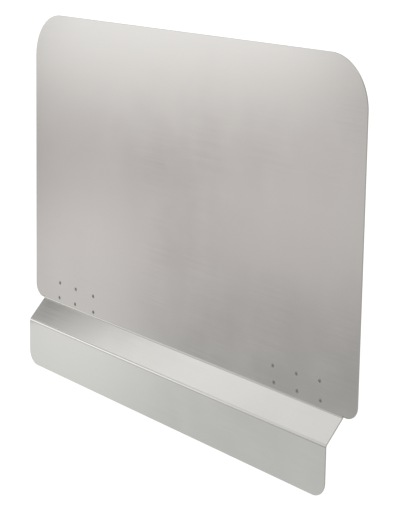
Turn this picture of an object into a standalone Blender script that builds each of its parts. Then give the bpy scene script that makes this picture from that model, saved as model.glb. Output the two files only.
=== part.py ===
"""Hook-on sheet metal splash shield.

One folded stainless steel sheet (tall panel, sloping ledge, hanging skirt) and two flat hook straps
spot-welded to the back of the panel.  The shield drops over a rim: the skirt hangs outside it and
the straps hang inside it.

Metres, +Z up, +X to the right for someone facing the skirt, -Y towards them.
The origin is the centre of the skirt's inner face, which bears on the outside of the rim.
"""

import math

import bmesh
import bpy
from mathutils import Matrix

MM = 0.001

# Folded sheet
SHEET_THICKNESS = 1.5 * MM
BEND_INNER_RADIUS = 4.0 * MM
PANEL_WIDTH = 610.0 * MM
PANEL_HEIGHT = 373.0 * MM  # above the upper bend line
PANEL_TOP_RADIUS = 55.5 * MM
PANEL_FOOT_RADIUS = 16.0 * MM
LEDGE_FORWARD = 23.0 * MM  # how far the ledge carries the skirt in front of the panel
LEDGE_DROP = 26.0 * MM
SKIRT_HEIGHT = 58.0 * MM
SKIRT_CORNER_RADIUS = 18.0 * MM
END_INSET = 20.5 * MM  # the ledge and skirt stop this far inside each end of the panel
NOTCH_WIDTH = 0.8 * MM  # relief slit between each end of the upper bend and the panel's foot
NOTCH_RISE = 2.0 * MM

# Hook straps behind the panel: a wide welded head that tapers to a narrower leg
STRAP_THICKNESS = 1.5 * MM
STRAP_FIT_GAP = 0.3 * MM
STRAP_OFFSET = 210.5 * MM  # strap centre to the middle of the panel
STRAP_HEAD_WIDTH = 100.0 * MM
STRAP_LEG_WIDTH = 72.0 * MM
STRAP_TOP = 40.0 * MM  # above the upper bend line
STRAP_TAPER_START = 8.0 * MM  # below the upper bend line
STRAP_TAPER_END = 26.0 * MM
STRAP_DROP = 78.0 * MM  # below the upper bend line, measured along the strap
STRAP_TOP_RADIUS = 6.0 * MM
STRAP_FOOT_RADIUS = 10.0 * MM
FLARE_LENGTH = 12.0 * MM  # lead-in at the foot, bent away from the skirt
FLARE_ANGLE = math.radians(20.0)

# Spot welds, six to a strap; each is a nugget that runs through both sheets.
# They are placed by hand, so they wander a little from a 37 mm by 20 mm grid.
# Each pair is the distance in from the panel's nearer end and the height above the upper bend line.
WELD_RADIUS = 2.2 * MM
WELD_HOLE_GAP = 0.3 * MM
WELD_DIMPLE = 0.25 * MM  # the nugget's ends lie this far below the faces
LEFT_WELDS_MM = ((57.5, 27.0), (94.0, 26.5), (133.5, 26.0), (56.0, 7.0), (92.5, 6.5), (134.0, 5.5))
RIGHT_WELDS_MM = ((57.0, 29.0), (93.5, 27.0), (131.5, 26.0), (55.0, 8.0), (91.5, 8.5), (129.0, 8.0))
WELD_SEGMENTS = 20

# Smoothness of the curved outlines and bends
CORNER_STEPS = 14
NOTCH_STEPS = 8
BEND_STEPS = 6
MERGE_DISTANCE = 0.001 * MM
SMOOTH_ANGLE = math.radians(30.0)

LEDGE_ANGLE = math.atan2(LEDGE_FORWARD, LEDGE_DROP)  # turn at each of the two bends
PANEL_FRONT_Y = LEDGE_FORWARD - SHEET_THICKNESS
BEND_LINE_Z = LEDGE_DROP + SKIRT_HEIGHT / 2


def clear_scene():
    for obj in list(bpy.data.objects):
        bpy.data.objects.remove(obj, do_unlink=True)


def new_collection(name):
    collection = bpy.data.collections.new(name)
    bpy.context.scene.collection.children.link(collection)
    return collection


def steel_material(name, colour, roughness):
    material = bpy.data.materials.new(name)
    material.use_nodes = True
    shader = material.node_tree.nodes["Principled BSDF"]
    shader.inputs["Base Color"].default_value = (*colour, 1.0)
    shader.inputs["Metallic"].default_value = 1.0
    shader.inputs["Roughness"].default_value = roughness
    return material


def arc(centre, radius, start_deg, end_deg, steps):
    """Points of an arc in the (x, z) plane, both ends included."""
    points = []
    for i in range(steps + 1):
        angle = math.radians(start_deg + (end_deg - start_deg) * i / steps)
        points.append((centre[0] + radius * math.cos(angle), centre[1] + radius * math.sin(angle)))
    return points


def circle(centre, radius, segments):
    return arc(centre, radius, 0.0, 360.0, segments)[:-1]


def flat_blank(name, loops, thickness):
    """A flat sheet standing in the XZ plane, front face at y = 0 and back face at y = thickness.

    The first loop is its outline and the others are holes."""
    curve = bpy.data.curves.new(name + "_outline", "CURVE")
    curve.dimensions = "2D"
    curve.fill_mode = "BOTH"
    curve.extrude = thickness / 2
    for loop in loops:
        spline = curve.splines.new("POLY")
        spline.points.add(len(loop) - 1)
        for point, (x, z) in zip(spline.points, loop):
            point.co = (x, z, 0.0, 1.0)
        spline.use_cyclic_u = True
    outline = bpy.data.objects.new(name + "_outline", curve)
    bpy.context.scene.collection.objects.link(outline)
    depsgraph = bpy.context.evaluated_depsgraph_get()
    mesh = bpy.data.meshes.new_from_object(outline.evaluated_get(depsgraph))
    bpy.data.objects.remove(outline, do_unlink=True)
    bpy.data.curves.remove(curve)
    mesh.name = name
    stand_up = Matrix.Translation((0.0, thickness / 2, 0.0)) @ Matrix.Rotation(math.pi / 2, 4, "X")
    mesh.transform(stand_up)
    bm = bmesh.new()
    bm.from_mesh(mesh)
    bmesh.ops.remove_doubles(bm, verts=bm.verts, dist=MERGE_DISTANCE)
    bmesh.ops.recalc_face_normals(bm, faces=bm.faces)
    bm.to_mesh(mesh)
    bm.free()
    return mesh


def fold_down(mesh, start_z, angle, inner_radius, thickness, in_fold):
    """Folds what lies below start_z about an axis along X.

    A positive angle folds the lower part towards -Y, a negative one towards +Y.  Only the vertices
    that in_fold accepts are moved.  The mid-thickness keeps its length."""
    middle_radius = inner_radius + thickness / 2
    bend_length = abs(angle) * middle_radius
    bm = bmesh.new()
    bm.from_mesh(mesh)
    for i in range(BEND_STEPS + 1):
        height = start_z - bend_length * i / BEND_STEPS
        geometry = bm.verts[:] + bm.edges[:] + bm.faces[:]
        bmesh.ops.bisect_plane(
            bm, geom=geometry, dist=MERGE_DISTANCE, plane_co=(0.0, 0.0, height), plane_no=(0.0, 0.0, 1.0)
        )
    side = 1.0 if angle > 0.0 else -1.0
    centre_y = -inner_radius if angle > 0.0 else thickness + inner_radius
    for vert in bm.verts:
        x, y, z = vert.co
        if z > start_z or not in_fold(x):
            continue
        along = start_z - z
        turned = min(along / bend_length, 1.0) * abs(angle)
        beyond = max(along - bend_length, 0.0)
        reach = abs(y - centre_y)
        vert.co.y = centre_y + side * (reach * math.cos(turned) - beyond * math.sin(turned))
        vert.co.z = start_z - reach * math.sin(turned) - beyond * math.cos(turned)
    bm.to_mesh(mesh)
    bm.free()


def shield_blank_outline():
    """The sheet before folding: bend line at z = 0, the ledge and skirt laid out below it."""
    half = PANEL_WIDTH / 2
    inner = half - END_INSET
    middle_radius = BEND_INNER_RADIUS + SHEET_THICKNESS / 2
    upper_tangent = BEND_INNER_RADIUS * math.tan(LEDGE_ANGLE / 2)
    lower_tangent = (BEND_INNER_RADIUS + SHEET_THICKNESS) * math.tan(LEDGE_ANGLE / 2)
    ledge_flat = math.hypot(LEDGE_FORWARD, LEDGE_DROP) - upper_tangent - lower_tangent
    bend_length = LEDGE_ANGLE * middle_radius
    lower_bend_start = upper_tangent - bend_length - ledge_flat
    foot = lower_bend_start - bend_length - (SKIRT_HEIGHT - lower_tangent)
    skirt_centre_x = inner - SKIRT_CORNER_RADIUS
    skirt_centre_z = foot + SKIRT_CORNER_RADIUS
    notch_radius = NOTCH_WIDTH / 2
    notch_centre = (inner + notch_radius, NOTCH_RISE - notch_radius)
    top_centre_x = half - PANEL_TOP_RADIUS
    top_centre_z = PANEL_HEIGHT - PANEL_TOP_RADIUS
    foot_centre_x = half - PANEL_FOOT_RADIUS
    right = []
    right += arc((skirt_centre_x, skirt_centre_z), SKIRT_CORNER_RADIUS, -90.0, 0.0, CORNER_STEPS)
    right += arc(notch_centre, notch_radius, 180.0, 0.0, NOTCH_STEPS)
    right += [(inner + NOTCH_WIDTH, 0.0)]
    right += arc((foot_centre_x, PANEL_FOOT_RADIUS), PANEL_FOOT_RADIUS, -90.0, 0.0, CORNER_STEPS)
    right += arc((top_centre_x, top_centre_z), PANEL_TOP_RADIUS, 0.0, 90.0, 2 * CORNER_STEPS)
    left = [(-x, z) for x, z in reversed(right)]
    return right + left, upper_tangent, lower_bend_start


def weld_centres(side):
    """Weld positions of one strap in the (x, z) plane; side is -1 for the left and 1 for the right."""
    welds = LEFT_WELDS_MM if side < 0 else RIGHT_WELDS_MM
    return [(side * (PANEL_WIDTH / 2 - inset * MM), height * MM) for inset, height in welds]


def weld_holes(side):
    radius = WELD_RADIUS + WELD_HOLE_GAP
    return [circle(centre, radius, WELD_SEGMENTS) for centre in weld_centres(side)]


def make_shield_sheet():
    outline, upper_bend, lower_bend = shield_blank_outline()
    mesh = flat_blank("shield_sheet", [outline] + weld_holes(-1) + weld_holes(1), SHEET_THICKNESS)
    reach = PANEL_WIDTH / 2 - END_INSET + NOTCH_WIDTH / 2

    def between_notches(x):
        return abs(x) < reach

    fold_down(mesh, lower_bend, -LEDGE_ANGLE, BEND_INNER_RADIUS, SHEET_THICKNESS, between_notches)
    fold_down(mesh, upper_bend, LEDGE_ANGLE, BEND_INNER_RADIUS, SHEET_THICKNESS, between_notches)
    return bpy.data.objects.new("shield_sheet", mesh)


def strap_outline():
    """One strap before its foot is flared, centred on x = 0."""
    head = STRAP_HEAD_WIDTH / 2
    leg = STRAP_LEG_WIDTH / 2
    foot_centre = (leg - STRAP_FOOT_RADIUS, STRAP_FOOT_RADIUS - STRAP_DROP)
    top_centre = (head - STRAP_TOP_RADIUS, STRAP_TOP - STRAP_TOP_RADIUS)
    right = arc(foot_centre, STRAP_FOOT_RADIUS, -90.0, 0.0, CORNER_STEPS)
    right += [(leg, -STRAP_TAPER_END), (head, -STRAP_TAPER_START)]
    right += arc(top_centre, STRAP_TOP_RADIUS, 0.0, 90.0, NOTCH_STEPS)
    left = [(-x, z) for x, z in reversed(right)]
    return right + left


def make_strap(name, side):
    """A flat strap welded behind the panel, with a flared foot that hangs inside the rim."""
    outline = [(side * STRAP_OFFSET + x, z) for x, z in strap_outline()]
    mesh = flat_blank(name, [outline] + weld_holes(side), STRAP_THICKNESS)
    flare_start = FLARE_LENGTH - STRAP_DROP
    fold_down(mesh, flare_start, -FLARE_ANGLE, BEND_INNER_RADIUS, STRAP_THICKNESS, lambda x: True)
    obj = bpy.data.objects.new(name, mesh)
    obj.location = (0.0, SHEET_THICKNESS + STRAP_FIT_GAP, 0.0)
    return obj


def weld_nugget_mesh():
    """A short round nugget along Y, its ends a little below the two outer faces."""
    depth = SHEET_THICKNESS + STRAP_FIT_GAP + STRAP_THICKNESS - 2 * WELD_DIMPLE
    bm = bmesh.new()
    bmesh.ops.create_cone(
        bm, cap_ends=True, segments=WELD_SEGMENTS, radius1=WELD_RADIUS, radius2=WELD_RADIUS, depth=depth,
        matrix=Matrix.Rotation(math.pi / 2, 4, "X"),
    )
    mesh = bpy.data.meshes.new("spot_weld")
    bm.to_mesh(mesh)
    bm.free()
    return mesh


def make_spot_welds(label, side):
    """The six weld nuggets of one strap, all sharing one mesh."""
    mesh = weld_nugget_mesh()
    middle = (SHEET_THICKNESS + STRAP_FIT_GAP + STRAP_THICKNESS) / 2
    welds = []
    for number, (x, z) in enumerate(weld_centres(side), start=1):
        weld = bpy.data.objects.new(f"{label}_spot_weld_{number}", mesh)
        weld.location = (x, middle, z)
        welds.append(weld)
    return welds


def finish(objects, material):
    """Gives objects that may share a mesh their material and smooth shading."""
    for mesh in {obj.data for obj in objects}:
        mesh.materials.clear()
        mesh.materials.append(material)
        mesh.shade_smooth()
        mesh.set_sharp_from_angle(angle=SMOOTH_ANGLE)


def main():
    clear_scene()
    collection = new_collection("splash_shield")
    bend_line = bpy.data.objects.new("upper_bend_line", None)
    bend_line.location = (0.0, PANEL_FRONT_Y, BEND_LINE_Z)
    collection.objects.link(bend_line)
    sheet = make_shield_sheet()
    left_strap = make_strap("left_hook_strap", -1)
    right_strap = make_strap("right_hook_strap", 1)
    left_welds = make_spot_welds("left", -1)
    right_welds = make_spot_welds("right", 1)
    finish([sheet], steel_material("brushed_sheet_steel", (0.66, 0.655, 0.645), 0.32))
    finish([left_strap], steel_material("left_strap_steel", (0.62, 0.62, 0.61), 0.38))
    finish([right_strap], steel_material("right_strap_steel", (0.62, 0.62, 0.61), 0.38))
    finish(left_welds, steel_material("left_weld_steel", (0.30, 0.28, 0.26), 0.55))
    finish(right_welds, steel_material("right_weld_steel", (0.30, 0.28, 0.26), 0.55))
    for obj in [sheet, left_strap, right_strap] + left_welds + right_welds:
        obj.parent = bend_line
        collection.objects.link(obj)


main()
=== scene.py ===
"""Looks for the hook-on sheet metal splash shield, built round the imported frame.

The folded sheet, its two hook straps and the twelve spot welds are rebuilt here with rounded
sheared edges, fine bends, dished welds and brushed steel materials.  Metres, +Z up, in the row
frame: the origin is the centre of the skirt's inner face, and -Y is towards the viewer.
"""

import math

import bmesh
import bpy
from mathutils import Matrix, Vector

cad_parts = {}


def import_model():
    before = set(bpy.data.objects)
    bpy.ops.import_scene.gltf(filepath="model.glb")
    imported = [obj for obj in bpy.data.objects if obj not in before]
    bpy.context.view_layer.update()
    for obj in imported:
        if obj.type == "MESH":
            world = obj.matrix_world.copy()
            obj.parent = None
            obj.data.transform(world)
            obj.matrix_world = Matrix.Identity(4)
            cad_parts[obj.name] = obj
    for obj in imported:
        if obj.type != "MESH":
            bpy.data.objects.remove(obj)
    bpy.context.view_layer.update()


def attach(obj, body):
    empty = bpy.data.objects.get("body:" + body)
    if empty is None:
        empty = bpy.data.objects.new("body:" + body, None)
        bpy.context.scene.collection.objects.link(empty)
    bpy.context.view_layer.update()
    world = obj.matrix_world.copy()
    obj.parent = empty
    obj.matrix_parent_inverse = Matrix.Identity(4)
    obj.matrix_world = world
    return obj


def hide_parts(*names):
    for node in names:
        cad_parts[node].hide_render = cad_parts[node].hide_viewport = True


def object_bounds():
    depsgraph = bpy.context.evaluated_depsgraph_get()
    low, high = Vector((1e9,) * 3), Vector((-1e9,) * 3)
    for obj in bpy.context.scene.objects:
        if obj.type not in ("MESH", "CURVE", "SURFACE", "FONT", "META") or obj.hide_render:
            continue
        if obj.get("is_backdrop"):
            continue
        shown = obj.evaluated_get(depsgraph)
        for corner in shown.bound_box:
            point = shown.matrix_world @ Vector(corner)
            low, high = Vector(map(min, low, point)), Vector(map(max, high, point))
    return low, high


MM = 0.001

# Sizes shared with the CAD model
SHEET_THICKNESS = 1.5 * MM
BEND_INNER_RADIUS = 4.0 * MM
PANEL_WIDTH = 610.0 * MM
PANEL_HEIGHT = 373.0 * MM
PANEL_TOP_RADIUS = 55.5 * MM
PANEL_FOOT_RADIUS = 16.0 * MM
LEDGE_FORWARD = 23.0 * MM
LEDGE_DROP = 26.0 * MM
SKIRT_HEIGHT = 58.0 * MM
SKIRT_CORNER_RADIUS = 18.0 * MM
END_INSET = 20.5 * MM
NOTCH_WIDTH = 0.8 * MM
NOTCH_RISE = 2.0 * MM
STRAP_THICKNESS = 1.5 * MM
STRAP_FIT_GAP = 0.3 * MM
STRAP_OFFSET = 210.5 * MM
STRAP_HEAD_WIDTH = 100.0 * MM
STRAP_LEG_WIDTH = 72.0 * MM
STRAP_TOP = 40.0 * MM
STRAP_TAPER_START = 8.0 * MM
STRAP_TAPER_END = 26.0 * MM
STRAP_DROP = 78.0 * MM
STRAP_TOP_RADIUS = 6.0 * MM
STRAP_FOOT_RADIUS = 10.0 * MM
FLARE_LENGTH = 12.0 * MM
FLARE_ANGLE = math.radians(20.0)
LEFT_WELDS_MM = ((57.5, 27.0), (94.0, 26.5), (133.5, 26.0), (56.0, 7.0), (92.5, 6.5), (134.0, 5.5))
RIGHT_WELDS_MM = ((57.0, 29.0), (93.5, 27.0), (131.5, 26.0), (55.0, 8.0), (91.5, 8.5), (129.0, 8.0))
LEDGE_ANGLE = math.atan2(LEDGE_FORWARD, LEDGE_DROP)
PANEL_FRONT_Y = LEDGE_FORWARD - SHEET_THICKNESS
BEND_LINE_Z = LEDGE_DROP + SKIRT_HEIGHT / 2

# Finer detail that only the visual model has
EDGE_ROUND = 0.22 * MM
EDGE_STEPS = 2
WELD_RADIUS = 2.3 * MM
WELD_SINK = 0.10 * MM  # the weld's rim lies this far below the sheet's face
WELD_DISH = 0.38 * MM  # and its middle this much deeper
WELD_CLEARANCE = 0.02 * MM  # all round, inside its hole
WELD_RINGS = 5
WELD_SEGMENTS = 40
CORNER_STEPS = 36
NOTCH_STEPS = 12
BEND_STEPS = 12
MERGE_DISTANCE = 0.0005 * MM
FACE_LIMIT = 0.99  # a face whose normal has more than this along Y is not part of the cut edge
WELD_SHARP_ANGLE = math.radians(40.0)

# Painted shade: darker lines painted into the sheet's colour along the two bends, in place of the bends'
# own shading:
# middle height from the upper bend line, half width, blur
PAINTED_BEND_SHADE = ((0.2 * MM, 1.2 * MM, 0.4 * MM), (-LEDGE_DROP - 1.7 * MM, 0.35 * MM, 0.3 * MM))
PAINTED_SHADE_TINT = (0.78, 0.78, 0.77, 1.0)

# Camera: in front of the shield, well round to its right and a little above it
CAMERA_PLACE = (1.350, -1.010, 0.5795)
CAMERA_HEADING = math.radians(51.77)
CAMERA_TILT = math.radians(9.586)
CAMERA_ROLL = math.radians(0.97)
CAMERA_LENS = 105.8
CAMERA_SHIFT_Y = -0.207
CAMERA_NEAR = 0.05
CAMERA_FAR = 100.0

# Studio light
NEUTRAL = (1.0, 0.99, 0.965)
ROSY = (1.25, 0.80, 0.86)
SKY_BASE = (0.520, 0.513, 0.493)

# Soft boxes, in degrees.  Azimuth 0 is straight out from the skirt and grows towards its left;
# elevation is above level.  A box with a negative strength is a black flag.
# tint; azimuth: middle, half width, blur; elevation: middle, half width, blur; strength
SOFT_BOXES = (
    (NEUTRAL, 0.0, 200.0, 1.0, 90.0, 38.0, 12.0, 0.80),  # overhead
    (NEUTRAL, 52.4, 6.9, 2.8, -1.6, 5.7, 3.1, 0.72),  # key box, low at the front left
    (NEUTRAL, 56.0, 5.0, 2.5, 9.0, 5.0, 2.0, 0.95),  # left wing, mirrored in the bends
    (NEUTRAL, 47.0, 6.0, 3.0, 16.0, 11.0, 3.0, 0.40),  # right wing
    (ROSY, 53.0, 9.0, 2.5, -11.0, 4.5, 3.0, 0.08),  # rosy spill below the key box
    (NEUTRAL, 44.0, 7.5, 1.2, -11.8, 2.8, 1.5, 0.14),  # spill at the right
    (NEUTRAL, 56.5, 2.5, 1.5, -15.0, 4.5, 3.0, 0.30),  # low fill at the left
    (NEUTRAL, 61.8, 3.2, 0.8, -8.5, 4.0, 2.0, -0.22),  # flag beside the low fill
    (NEUTRAL, 45.0, 6.0, 2.0, -18.5, 2.0, 1.5, -0.04),  # flag below the spill
    (NEUTRAL, 60.0, 6.8, 0.6, 34.0, 9.0, 4.0, 0.46),  # upper box, mirrored in the ledge
    (NEUTRAL, 64.3, 2.5, 0.6, 34.0, 9.0, 4.0, 0.20),  # the upper box's brighter end
    (NEUTRAL, 78.0, 10.6, 0.6, 28.0, 12.0, 4.0, -0.27),  # flag at the far left
)

# Dim light panel that lies in front of the skirt
SKIRT_LIGHT_X = -0.06
SKIRT_LIGHT_TINT = (0.97, 1.05, 1.0)
SKIRT_LIGHT_WIDTH = 0.76
SKIRT_LIGHT_DEPTH = 0.125
SKIRT_LIGHT_RADIANCE = 0.22
SKIRT_LIGHT_GAP = 0.2 * MM  # below the skirt's foot

FLOOR_SIZE = 30.0
FLOOR_GAP = 0.5 * MM
FLOOR_GLOW = 0.95
PAPER_DARK = (0.19, 0.19, 0.19)
PAPER_LIGHT = (0.21, 0.21, 0.21)
PAPER_FIBRE_SCALE = 60.0
PAPER_ROUGHNESS = 0.9

# Brushed steel: tones of the mottle, roughness, and the height of a thin sheet's shallow waves
SHEET_TONES = ((0.63, 0.626, 0.62), (0.69, 0.686, 0.68))
SHEET_ROUGHNESS = 0.13
SHEET_WAVES = 0.5 * MM
STRAP_TONES = ((0.58, 0.576, 0.57), (0.66, 0.656, 0.65))
STRAP_ROUGHNESS = 0.26
STRAP_WAVES = 0.3 * MM
GRAIN_STRETCH = (9.0, 1400.0, 1400.0)  # the grain runs along X
GRAIN_SHARE = 0.35  # of the tone; the mottle has the rest
GRAIN_ROUGHNESS = 0.02
GRAIN_DEPTH = 0.01 * MM
GRAIN_STRENGTH = 0.25
MOTTLE_SCALE = 13.0
MOTTLE_ROUGHNESS = 0.025
WAVE_STRETCH = (1.0, 1.0, 1.3)
WAVE_SCALE = 3.2

# Sheared edges, with fine lines across the sheet's thickness
EDGE_TONES = ((0.27, 0.266, 0.262), (0.43, 0.426, 0.42))
EDGE_ROUGHNESS = (0.36, 0.52)
EDGE_LINE_STRETCH = (1800.0, 120.0, 1800.0)
EDGE_LINE_DEPTH = 0.02 * MM
EDGE_LINE_STRENGTH = 0.4

# Heat tint of a weld: share of its radius, colour
WELD_TINTS = (
    (0.0, (0.24, 0.22, 0.20)),
    (0.45, (0.27, 0.255, 0.24)),
    (0.75, (0.42, 0.41, 0.40)),
    (1.0, (0.50, 0.495, 0.49)),
)
WELD_ROUGHNESS = (0.42, 0.62)
WELD_METALLIC = 0.9
WELD_BLOTCH_SCALE = 900.0
WELD_BLOTCH_REACH = 0.12
WELD_BLOTCH_DEPTH = 0.03 * MM
WELD_BLOTCH_STRENGTH = 0.5

# Noise mostly lies between LOW and HIGH; a ramp between two tones reaches a little less far
NOISE_LOW = 0.3
NOISE_HIGH = 0.7
RAMP_LOW = 0.32
RAMP_HIGH = 0.68


def add_camera():
    data = bpy.data.cameras.new("camera")
    data.lens = CAMERA_LENS
    data.shift_y = CAMERA_SHIFT_Y
    data.clip_start = CAMERA_NEAR
    data.clip_end = CAMERA_FAR
    camera = bpy.data.objects.new("camera", data)
    heading = Matrix.Rotation(CAMERA_HEADING, 4, "Z")
    tilt = Matrix.Rotation(math.pi / 2 - CAMERA_TILT, 4, "X")
    roll = Matrix.Rotation(CAMERA_ROLL, 4, "Z")
    camera.matrix_world = Matrix.Translation(CAMERA_PLACE) @ heading @ tilt @ roll
    bpy.context.scene.collection.objects.link(camera)
    bpy.context.scene.camera = camera


# ---------------------------------------------------------------- shape tools


def arc(centre, radius, start_deg, end_deg, steps):
    """Points of an arc in the (x, z) plane, both ends included."""
    points = []
    for i in range(steps + 1):
        angle = math.radians(start_deg + (end_deg - start_deg) * i / steps)
        points.append((centre[0] + radius * math.cos(angle), centre[1] + radius * math.sin(angle)))
    return points


def mirrored(right):
    """A closed outline from its right half, which runs from the bottom to the top."""
    return right + [(-x, z) for x, z in reversed(right)]


def flat_blank(name, loops, thickness):
    """A flat sheet with rounded edges, standing in the XZ plane from y = 0 back to y = thickness."""
    curve = bpy.data.curves.new(name + "_outline", "CURVE")
    curve.dimensions = "2D"
    curve.fill_mode = "BOTH"
    curve.extrude = thickness / 2 - EDGE_ROUND
    curve.bevel_depth = EDGE_ROUND
    curve.bevel_resolution = EDGE_STEPS
    curve.offset = -EDGE_ROUND
    for loop in loops:
        spline = curve.splines.new("POLY")
        spline.points.add(len(loop) - 1)
        for point, (x, z) in zip(spline.points, loop):
            point.co = (x, z, 0.0, 1.0)
        spline.use_cyclic_u = True
    outline = bpy.data.objects.new(name + "_outline", curve)
    bpy.context.scene.collection.objects.link(outline)
    depsgraph = bpy.context.evaluated_depsgraph_get()
    mesh = bpy.data.meshes.new_from_object(outline.evaluated_get(depsgraph))
    bpy.data.objects.remove(outline, do_unlink=True)
    bpy.data.curves.remove(curve)
    mesh.name = name
    stand_up = Matrix.Translation((0.0, thickness / 2, 0.0)) @ Matrix.Rotation(math.pi / 2, 4, "X")
    mesh.transform(stand_up)
    bm = bmesh.new()
    bm.from_mesh(mesh)
    bmesh.ops.remove_doubles(bm, verts=bm.verts, dist=MERGE_DISTANCE)
    bmesh.ops.recalc_face_normals(bm, faces=bm.faces)
    for face in bm.faces:
        face.smooth = True
        face.material_index = 0 if abs(face.normal.y) > FACE_LIMIT else 1
    bm.to_mesh(mesh)
    bm.free()
    return mesh


def fold_down(mesh, start_z, angle, inner_radius, thickness, in_fold):
    """Folds what lies below start_z: a positive angle towards -Y, a negative one towards +Y."""
    middle_radius = inner_radius + thickness / 2
    bend_length = abs(angle) * middle_radius
    bm = bmesh.new()
    bm.from_mesh(mesh)
    for i in range(BEND_STEPS + 1):
        height = start_z - bend_length * i / BEND_STEPS
        geometry = bm.verts[:] + bm.edges[:] + bm.faces[:]
        bmesh.ops.bisect_plane(
            bm, geom=geometry, dist=MERGE_DISTANCE, plane_co=(0.0, 0.0, height), plane_no=(0.0, 0.0, 1.0)
        )
    side = 1.0 if angle > 0.0 else -1.0
    centre_y = -inner_radius if angle > 0.0 else thickness + inner_radius
    for vert in bm.verts:
        x, y, z = vert.co
        if z > start_z or not in_fold(x):
            continue
        along = start_z - z
        turned = min(along / bend_length, 1.0) * abs(angle)
        beyond = max(along - bend_length, 0.0)
        reach = abs(y - centre_y)
        vert.co.y = centre_y + side * (reach * math.cos(turned) - beyond * math.sin(turned))
        vert.co.z = start_z - reach * math.sin(turned) - beyond * math.cos(turned)
    bm.to_mesh(mesh)
    bm.free()


def weld_centres(side):
    """Weld positions of one strap in the (x, z) plane; side is -1 for the left and 1 for the right."""
    welds = LEFT_WELDS_MM if side < 0 else RIGHT_WELDS_MM
    return [(side * (PANEL_WIDTH / 2 - inset * MM), height * MM) for inset, height in welds]


def weld_holes(side):
    return [arc(centre, WELD_RADIUS, 0.0, 360.0, WELD_SEGMENTS)[:-1] for centre in weld_centres(side)]


def finish_piece(name, mesh, place, materials, nodes):
    """Links a piece, keeps its flats flat under smooth shading and ties it to the frame."""
    mesh.materials.clear()
    for material in materials:
        mesh.materials.append(material)
    piece = bpy.data.objects.new(name, mesh)
    piece.location = place
    bpy.context.scene.collection.objects.link(piece)
    normals = piece.modifiers.new("flat faces stay flat", "WEIGHTED_NORMAL")
    normals.mode = "FACE_AREA"
    normals.weight = 100
    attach(piece, "root")
    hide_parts(*nodes)


# ---------------------------------------------------------------- the pieces


def shield_outline():
    """The right half of the sheet before folding, with the fold heights of its two bends."""
    half = PANEL_WIDTH / 2
    inner = half - END_INSET
    upper_tangent = BEND_INNER_RADIUS * math.tan(LEDGE_ANGLE / 2)
    lower_tangent = (BEND_INNER_RADIUS + SHEET_THICKNESS) * math.tan(LEDGE_ANGLE / 2)
    ledge_flat = math.hypot(LEDGE_FORWARD, LEDGE_DROP) - upper_tangent - lower_tangent
    bend_length = LEDGE_ANGLE * (BEND_INNER_RADIUS + SHEET_THICKNESS / 2)
    lower_bend = upper_tangent - bend_length - ledge_flat
    foot = lower_bend - bend_length - (SKIRT_HEIGHT - lower_tangent)
    notch_radius = NOTCH_WIDTH / 2
    skirt_corner = (inner - SKIRT_CORNER_RADIUS, foot + SKIRT_CORNER_RADIUS)
    notch_top = (inner + notch_radius, NOTCH_RISE - notch_radius)
    foot_corner = (half - PANEL_FOOT_RADIUS, PANEL_FOOT_RADIUS)
    top_corner = (half - PANEL_TOP_RADIUS, PANEL_HEIGHT - PANEL_TOP_RADIUS)
    right = arc(skirt_corner, SKIRT_CORNER_RADIUS, -90.0, 0.0, CORNER_STEPS)
    right += arc(notch_top, notch_radius, 180.0, 0.0, NOTCH_STEPS)
    right += [(inner + NOTCH_WIDTH, 0.0)]
    right += arc(foot_corner, PANEL_FOOT_RADIUS, -90.0, 0.0, CORNER_STEPS)
    right += arc(top_corner, PANEL_TOP_RADIUS, 0.0, 90.0, 2 * CORNER_STEPS)
    return right, upper_tangent, lower_bend


def make_sheet(face, edge):
    right, upper_bend, lower_bend = shield_outline()
    loops = [mirrored(right)] + weld_holes(-1) + weld_holes(1)
    mesh = flat_blank("folded_sheet", loops, SHEET_THICKNESS)
    reach = PANEL_WIDTH / 2 - END_INSET + NOTCH_WIDTH / 2

    def between_notches(x):
        return abs(x) < reach

    fold_down(mesh, lower_bend, -LEDGE_ANGLE, BEND_INNER_RADIUS, SHEET_THICKNESS, between_notches)
    fold_down(mesh, upper_bend, LEDGE_ANGLE, BEND_INNER_RADIUS, SHEET_THICKNESS, between_notches)
    place = (0.0, PANEL_FRONT_Y, BEND_LINE_Z)
    finish_piece("folded_sheet", mesh, place, (face, edge), ["shield_sheet"])


def make_strap(label, side, face, edge):
    head = STRAP_HEAD_WIDTH / 2
    leg = STRAP_LEG_WIDTH / 2
    foot_corner = (leg - STRAP_FOOT_RADIUS, STRAP_FOOT_RADIUS - STRAP_DROP)
    top_corner = (head - STRAP_TOP_RADIUS, STRAP_TOP - STRAP_TOP_RADIUS)
    right = arc(foot_corner, STRAP_FOOT_RADIUS, -90.0, 0.0, CORNER_STEPS)
    right += [(leg, -STRAP_TAPER_END), (head, -STRAP_TAPER_START)]
    right += arc(top_corner, STRAP_TOP_RADIUS, 0.0, 90.0, NOTCH_STEPS)
    outline = [(side * STRAP_OFFSET + x, z) for x, z in mirrored(right)]
    mesh = flat_blank(label + "_strap", [outline] + weld_holes(side), STRAP_THICKNESS)
    flare_start = FLARE_LENGTH - STRAP_DROP
    fold_down(mesh, flare_start, -FLARE_ANGLE, BEND_INNER_RADIUS, STRAP_THICKNESS, lambda x: True)
    place = (0.0, PANEL_FRONT_Y + SHEET_THICKNESS + STRAP_FIT_GAP, BEND_LINE_Z)
    finish_piece(label + "_strap", mesh, place, (face, edge), [label + "_hook_strap"])


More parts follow.
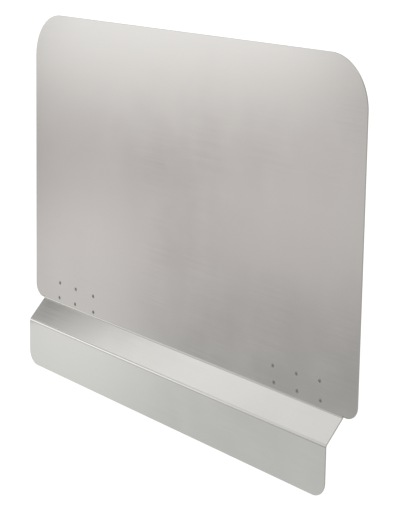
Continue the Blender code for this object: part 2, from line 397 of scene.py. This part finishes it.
def weld_mesh():
    """One weld nugget along Y, centred, with a dished face at each end."""
    half = (SHEET_THICKNESS + STRAP_FIT_GAP + STRAP_THICKNESS) / 2 - WELD_SINK
    radius = WELD_RADIUS - WELD_CLEARANCE
    profile = []
    for i in range(WELD_RINGS + 1):
        r = radius * i / WELD_RINGS
        profile.append((r, half - WELD_DISH * (1.0 - (r / radius) ** 2)))
    profile += [(r, -y) for r, y in reversed(profile)]
    bm = bmesh.new()
    verts = [bm.verts.new((r, y, 0.0)) for r, y in profile]
    edges = [bm.edges.new(pair) for pair in zip(verts, verts[1:])]
    bmesh.ops.spin(
        bm, geom=verts + edges, axis=(0.0, 1.0, 0.0), cent=(0.0, 0.0, 0.0), dvec=(0.0, 0.0, 0.0),
        angle=2 * math.pi, steps=WELD_SEGMENTS, use_merge=True, use_duplicate=False,
    )
    bmesh.ops.remove_doubles(bm, verts=bm.verts, dist=MERGE_DISTANCE)
    bmesh.ops.recalc_face_normals(bm, faces=bm.faces)
    mesh = bpy.data.meshes.new("weld_nugget")
    bm.to_mesh(mesh)
    bm.free()
    mesh.shade_smooth()
    mesh.set_sharp_from_angle(angle=WELD_SHARP_ANGLE)
    return mesh


def make_welds(label, side, mesh, material):
    middle = (SHEET_THICKNESS + STRAP_FIT_GAP + STRAP_THICKNESS) / 2
    for number, (x, z) in enumerate(weld_centres(side), start=1):
        place = (x, PANEL_FRONT_Y + middle, BEND_LINE_Z + z)
        node = f"{label}_spot_weld_{number}"
        finish_piece(f"{label}_weld_{number}", mesh, place, (material,), [node])


# ---------------------------------------------------------------- materials


class Nodes:
    """A short way to write a node tree: an input given as a socket is linked, any other is set."""

    def __init__(self, tree):
        self.tree = tree

    def add(self, kind, settings=None, **inputs):
        node = self.tree.nodes.new(kind)
        for key, value in (settings or {}).items():
            setattr(node, key, value)
        for key, value in inputs.items():
            name = key.replace("_", " ")
            if isinstance(value, bpy.types.NodeSocket):
                self.tree.links.new(value, node.inputs[name])
            else:
                node.inputs[name].default_value = value
        return node

    def noise(self, vector, scale, detail):
        made = self.add("ShaderNodeTexNoise", Vector=vector, Scale=scale, Detail=detail)
        return made.outputs["Fac"]

    def stretch(self, vector, scale):
        made = self.add("ShaderNodeMapping", Vector=vector, Scale=scale)
        return made.outputs["Vector"]

    def span(self, value, low, high):
        """Noise spread over low to high."""
        made = self.add(
            "ShaderNodeMapRange", Value=value,
            From_Min=NOISE_LOW, From_Max=NOISE_HIGH, To_Min=low, To_Max=high,
        )
        return made.outputs["Result"]

    def math(self, operation, a, b):
        made = self.tree.nodes.new("ShaderNodeMath")
        made.operation = operation
        for socket, value in zip(made.inputs, (a, b)):
            if isinstance(value, bpy.types.NodeSocket):
                self.tree.links.new(value, socket)
            else:
                socket.default_value = value
        return made.outputs[0]


def new_material(name):
    material = bpy.data.materials.new(name)
    material.use_nodes = True
    tree = material.node_tree
    return material, Nodes(tree), tree.nodes["Principled BSDF"]


def mixed_colour(nodes, factor, tones):
    """The colour between a dark and a light tone that a noise picks."""
    dark, light = tones
    ramp = nodes.tree.nodes.new("ShaderNodeValToRGB")
    ramp.color_ramp.elements[0].position = RAMP_LOW
    ramp.color_ramp.elements[0].color = (*dark, 1.0)
    ramp.color_ramp.elements[1].position = RAMP_HIGH
    ramp.color_ramp.elements[1].color = (*light, 1.0)
    nodes.tree.links.new(factor, ramp.inputs["Fac"])
    return ramp.outputs["Color"]


def window(nodes, value, middle, half_width, blur):
    """1 within half_width of the middle, fading to 0 over a band of twice the blur."""
    away = nodes.math("ABSOLUTE", nodes.math("SUBTRACT", value, middle), 0.0)
    faded = nodes.add(
        "ShaderNodeMapRange", {"interpolation_type": "SMOOTHSTEP"}, Value=away,
        From_Min=half_width + blur, From_Max=half_width - blur, To_Min=0.0, To_Max=1.0,
    )
    return faded.outputs["Result"]


def brushed_steel(name, tones, roughness, waviness, bend_shade=()):
    """Fine grain, faint handling mottle, shallow waves, and painted shade: darker lines painted into the
    colour along the bends.
    """
    material, nodes, shader = new_material(name)
    place = nodes.add("ShaderNodeTexCoord").outputs["Object"]
    grain = nodes.noise(nodes.stretch(place, GRAIN_STRETCH), 1.0, 3.0)
    mottle = nodes.noise(place, MOTTLE_SCALE, 4.0)
    waves = nodes.noise(nodes.stretch(place, WAVE_STRETCH), WAVE_SCALE, 0.5)
    grain_part = nodes.math("MULTIPLY", grain, GRAIN_SHARE)
    tone = nodes.math("ADD", grain_part, nodes.math("MULTIPLY", mottle, 1.0 - GRAIN_SHARE))
    links = nodes.tree.links
    colour = mixed_colour(nodes, tone, tones)
    grain_rough = nodes.span(grain, -GRAIN_ROUGHNESS, GRAIN_ROUGHNESS)
    rough = nodes.math("ADD", grain_rough, nodes.span(mottle, -MOTTLE_ROUGHNESS, MOTTLE_ROUGHNESS))
    height = nodes.add("ShaderNodeSeparateXYZ", Vector=place).outputs["Z"]
    # Painted shade: each line multiplies the base colour darker in a band along a bend
    for middle, half_width, blur in bend_shade:
        shade_band = window(nodes, height, middle, half_width, blur)
        shaded_colour = nodes.add("ShaderNodeMix", {"data_type": "RGBA", "blend_type": "MULTIPLY"})
        links.new(shade_band, shaded_colour.inputs[0])
        links.new(colour, shaded_colour.inputs[6])
        shaded_colour.inputs[7].default_value = PAINTED_SHADE_TINT
        colour = shaded_colour.outputs[2]
    links.new(colour, shader.inputs["Base Color"])
    links.new(nodes.math("ADD", rough, roughness), shader.inputs["Roughness"])
    shader.inputs["Metallic"].default_value = 1.0
    sheet_waves = nodes.add("ShaderNodeBump", Strength=1.0, Distance=waviness, Height=waves)
    fine = nodes.add("ShaderNodeBump", Strength=GRAIN_STRENGTH, Distance=GRAIN_DEPTH, Height=grain)
    links.new(sheet_waves.outputs["Normal"], fine.inputs["Normal"])
    links.new(fine.outputs["Normal"], shader.inputs["Normal"])
    return material


def sheared_edge(name):
    """The cut edge of the sheet: duller, with fine lines across its thickness."""
    material, nodes, shader = new_material(name)
    place = nodes.add("ShaderNodeTexCoord").outputs["Object"]
    lines = nodes.noise(nodes.stretch(place, EDGE_LINE_STRETCH), 1.0, 2.0)
    links = nodes.tree.links
    links.new(mixed_colour(nodes, lines, EDGE_TONES), shader.inputs["Base Color"])
    links.new(nodes.span(lines, *EDGE_ROUGHNESS), shader.inputs["Roughness"])
    shader.inputs["Metallic"].default_value = 1.0
    bump = nodes.add(
        "ShaderNodeBump", Strength=EDGE_LINE_STRENGTH, Distance=EDGE_LINE_DEPTH, Height=lines
    )
    links.new(bump.outputs["Normal"], shader.inputs["Normal"])
    return material


def weld_steel():
    """Heat-tinted metal: dark brown-grey in the middle of the dish, paler towards the rim."""
    material, nodes, shader = new_material("weld_heat_tint")
    place = nodes.add("ShaderNodeTexCoord").outputs["Object"]
    flat = nodes.stretch(place, (1.0 / WELD_RADIUS, 0.0, 1.0 / WELD_RADIUS))
    reach = nodes.add("ShaderNodeVectorMath", {"operation": "LENGTH"}, Vector=flat).outputs["Value"]
    blotch = nodes.noise(place, WELD_BLOTCH_SCALE, 3.0)
    wander = nodes.span(blotch, -WELD_BLOTCH_REACH, WELD_BLOTCH_REACH)
    ramp = nodes.tree.nodes.new("ShaderNodeValToRGB")
    elements = ramp.color_ramp.elements
    while len(elements) < len(WELD_TINTS):
        elements.new(0.5)
    for element, (position, colour) in zip(elements, WELD_TINTS):
        element.position = position
        element.color = (*colour, 1.0)
    links = nodes.tree.links
    links.new(nodes.math("ADD", reach, wander), ramp.inputs["Fac"])
    links.new(ramp.outputs["Color"], shader.inputs["Base Color"])
    links.new(nodes.span(blotch, *WELD_ROUGHNESS), shader.inputs["Roughness"])
    shader.inputs["Metallic"].default_value = WELD_METALLIC
    bump = nodes.add(
        "ShaderNodeBump", Strength=WELD_BLOTCH_STRENGTH, Distance=WELD_BLOTCH_DEPTH, Height=blotch
    )
    links.new(bump.outputs["Normal"], shader.inputs["Normal"])
    return material


def light_table():
    """White paper lit from below, which leaves next to no shadow."""
    material, nodes, shader = new_material("light_table")
    place = nodes.add("ShaderNodeTexCoord").outputs["Object"]
    fibre = nodes.noise(place, PAPER_FIBRE_SCALE, 4.0)
    paper = mixed_colour(nodes, fibre, (PAPER_DARK, PAPER_LIGHT))
    nodes.tree.links.new(paper, shader.inputs["Base Color"])
    shader.inputs["Roughness"].default_value = PAPER_ROUGHNESS
    shader.inputs["Specular IOR Level"].default_value = 0.0
    shader.inputs["Emission Color"].default_value = (1.0, 1.0, 1.0, 1.0)
    shader.inputs["Emission Strength"].default_value = FLOOR_GLOW
    return material


# ---------------------------------------------------------------- studio


def add_world():
    """A grey studio with soft boxes, each a blurred rectangle in azimuth and elevation."""
    world = bpy.data.worlds.new("studio")
    bpy.context.scene.world = world
    world.use_nodes = True
    nodes = Nodes(world.node_tree)
    direction = nodes.add("ShaderNodeTexCoord").outputs["Generated"]
    split = nodes.add("ShaderNodeSeparateXYZ", Vector=direction)
    left = nodes.math("MULTIPLY", split.outputs["X"], -1.0)
    front = nodes.math("MULTIPLY", split.outputs["Y"], -1.0)
    azimuth = nodes.math("DEGREES", nodes.math("ARCTAN2", left, front), 0.0)
    elevation = nodes.math("DEGREES", nodes.math("ARCSINE", split.outputs["Z"], 0.0), 0.0)
    total = SKY_BASE
    for tint, middle_az, half_az, blur_az, middle_el, half_el, blur_el, strength in SOFT_BOXES:
        across = window(nodes, azimuth, middle_az, half_az, blur_az)
        upward = window(nodes, elevation, middle_el, half_el, blur_el)
        light = nodes.math("MULTIPLY", nodes.math("MULTIPLY", across, upward), strength)
        made = nodes.add("ShaderNodeVectorMath", {"operation": "MULTIPLY_ADD"})
        nodes.tree.links.new(light, made.inputs[0])
        made.inputs[1].default_value = tint
        if isinstance(total, bpy.types.NodeSocket):
            nodes.tree.links.new(total, made.inputs[2])
        else:
            made.inputs[2].default_value = total
        total = made.outputs[0]
    nodes.tree.links.new(total, world.node_tree.nodes["Background"].inputs["Color"])


def add_skirt_light():
    """A dim light panel lying in front of the skirt, to be mirrored in the skirt and the lower bend."""
    low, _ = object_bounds()
    data = bpy.data.lights.new("skirt_light", "AREA")
    data.shape = "RECTANGLE"
    data.size = SKIRT_LIGHT_WIDTH
    data.size_y = SKIRT_LIGHT_DEPTH
    data.color = SKIRT_LIGHT_TINT
    data.energy = SKIRT_LIGHT_RADIANCE * math.pi * SKIRT_LIGHT_WIDTH * SKIRT_LIGHT_DEPTH
    light = bpy.data.objects.new("skirt_light", data)
    light.location = (SKIRT_LIGHT_X, -SKIRT_LIGHT_DEPTH / 2, low.z - SKIRT_LIGHT_GAP)
    light.rotation_euler = (math.pi, 0.0, 0.0)
    light.visible_camera = False
    bpy.context.scene.collection.objects.link(light)


def add_floor():
    low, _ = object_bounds()
    bpy.ops.mesh.primitive_plane_add(size=FLOOR_SIZE, location=(0.0, 0.0, low.z - FLOOR_GAP))
    floor = bpy.context.active_object
    floor.name = "floor"
    floor.data.materials.append(light_table())
    floor.visible_glossy = False
    floor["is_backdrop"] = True


def main():
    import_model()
    add_camera()
    add_floor()
    add_world()
    add_skirt_light()
    bpy.context.scene.view_settings.view_transform = "Standard"
    face = brushed_steel("brushed_sheet", SHEET_TONES, SHEET_ROUGHNESS, SHEET_WAVES, PAINTED_BEND_SHADE)
    strap_face = brushed_steel("brushed_strap", STRAP_TONES, STRAP_ROUGHNESS, STRAP_WAVES)
    edge = sheared_edge("sheared_edge")
    weld = weld_steel()
    nugget = weld_mesh()
    make_sheet(face, edge)
    for label, side in (("left", -1), ("right", 1)):
        make_strap(label, side, strap_face, edge)
        make_welds(label, side, nugget, weld)


main()
